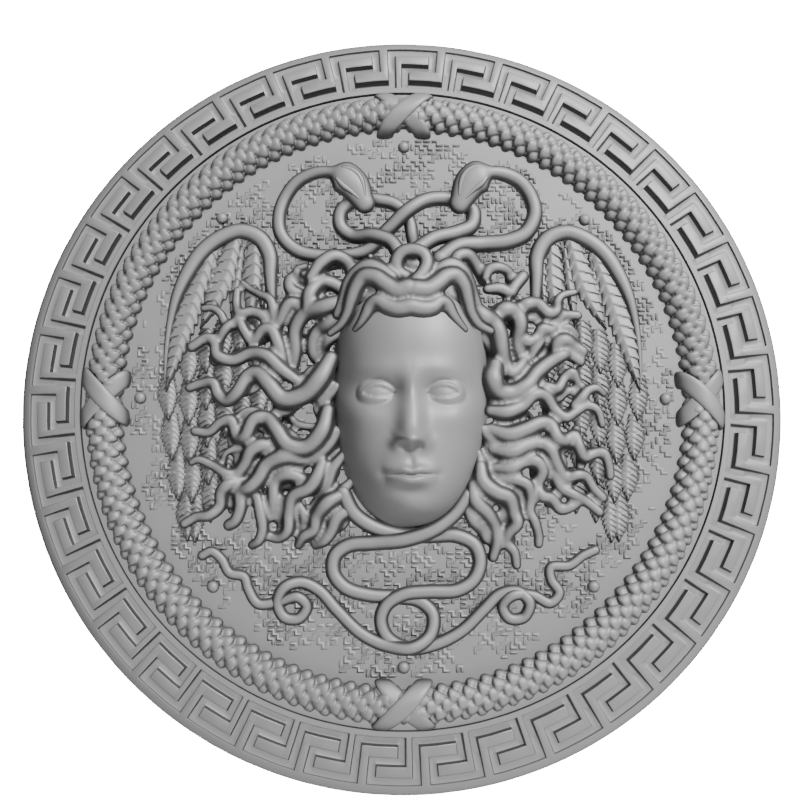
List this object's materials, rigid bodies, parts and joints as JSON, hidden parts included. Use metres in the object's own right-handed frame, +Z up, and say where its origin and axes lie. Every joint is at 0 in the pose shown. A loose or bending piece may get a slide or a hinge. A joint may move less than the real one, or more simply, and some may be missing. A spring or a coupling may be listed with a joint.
{
  "type": "relief wall medallion",
  "caption": "Round wall medallion in high relief: a winged face with snake hair and knotted serpents inside a leaf wreath and a meander border ring, with a flat back.",
  "frame": {"origin": "centre of the flat back, where it rests on the wall", "axes": "+Y out of the back into the wall, -Y towards the viewer, +Z up the face"},
  "size_m": [0.5996, 0.1008, 0.5996],
  "materials": {
    "medallion": "matt grey casting with a soft sheen",
    "frame_ring": "matt grey casting with a soft sheen"
  },
  "bodies": {
    "root": {"medallion": "medallion", "frame_ring": "frame_ring"}
  },
  "joints": []
}
